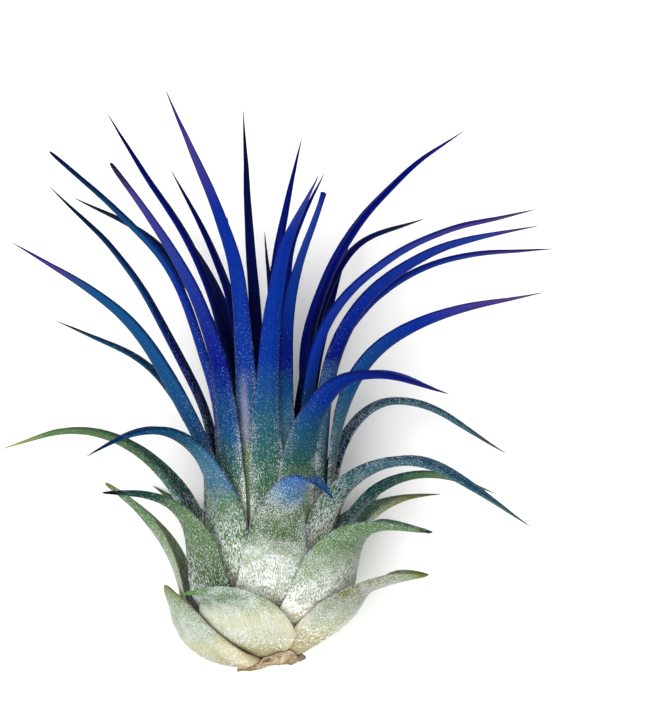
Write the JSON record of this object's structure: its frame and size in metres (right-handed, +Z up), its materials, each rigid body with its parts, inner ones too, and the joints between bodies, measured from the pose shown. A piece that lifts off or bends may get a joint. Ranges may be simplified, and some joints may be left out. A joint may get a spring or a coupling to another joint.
{
  "type": "air plant",
  "caption": "Rosette of stiff tapering leaves on a short stem: silvery overlapping sheaths form a bulb, and blue-tinted channelled blades fan out; it lies on its side.",
  "frame": {"origin": "the point on the table at the middle of the flat spot where the bulb's lowest leaf rests", "axes": "+Y along the table from the stem's foot to the leaf tips, +Z up from the table, +X to the right as seen from above"},
  "size_m": [0.0763, 0.0736, 0.054],
  "materials": {
    "leaf_silver": "silvery scales over pale green",
    "leaf_green": "silvery scales over green",
    "leaf_teal": "silvery scales over blue-green",
    "leaf_blue": "satin, tinted blue, silvery scales towards the foot",
    "leaf_navy": "satin, tinted dark blue",
    "stem": "matte",
    "dry_base": "dry, papery and fibrous"
  },
  "bodies": {
    "root": {"leaf_01": "leaf_silver", "leaf_02": "leaf_silver", "leaf_03": "leaf_silver", "leaf_04": "leaf_silver", "leaf_05": "leaf_green", "leaf_06": "leaf_green", "leaf_07": "leaf_green", "leaf_08": "leaf_green", "leaf_09": "leaf_green", "leaf_10": "leaf_green", "leaf_11": "leaf_teal", "leaf_12": "leaf_green", "leaf_13": "leaf_teal", "leaf_14": "leaf_green", "leaf_15": "leaf_green", "leaf_16": "leaf_teal", "leaf_17": "leaf_teal", "leaf_18": "leaf_teal", "leaf_19": "leaf_teal", "leaf_20": "leaf_teal", "leaf_21": "leaf_teal", "leaf_22": "leaf_blue", "leaf_23": "leaf_blue", "leaf_24": "leaf_blue", "leaf_25": "leaf_navy", "leaf_26": "leaf_navy", "leaf_27": "leaf_blue", "leaf_28": "leaf_blue", "leaf_29": "leaf_blue", "leaf_30": "leaf_navy", "leaf_31": "leaf_teal", "leaf_32": "leaf_blue", "leaf_33": "leaf_blue", "leaf_34": "leaf_blue", "leaf_35": "leaf_navy", "leaf_36": "leaf_teal", "leaf_37": "leaf_teal", "leaf_38": "leaf_blue", "leaf_39": "leaf_navy", "leaf_40": "leaf_navy", "leaf_41": "leaf_navy", "leaf_42": "leaf_navy", "leaf_43": "leaf_navy", "leaf_44": "leaf_navy", "leaf_45": "leaf_navy", "leaf_46": "leaf_navy", "leaf_47": "leaf_navy", "stem": "stem", "dry_base": "dry_base"}
  },
  "joints": []
}
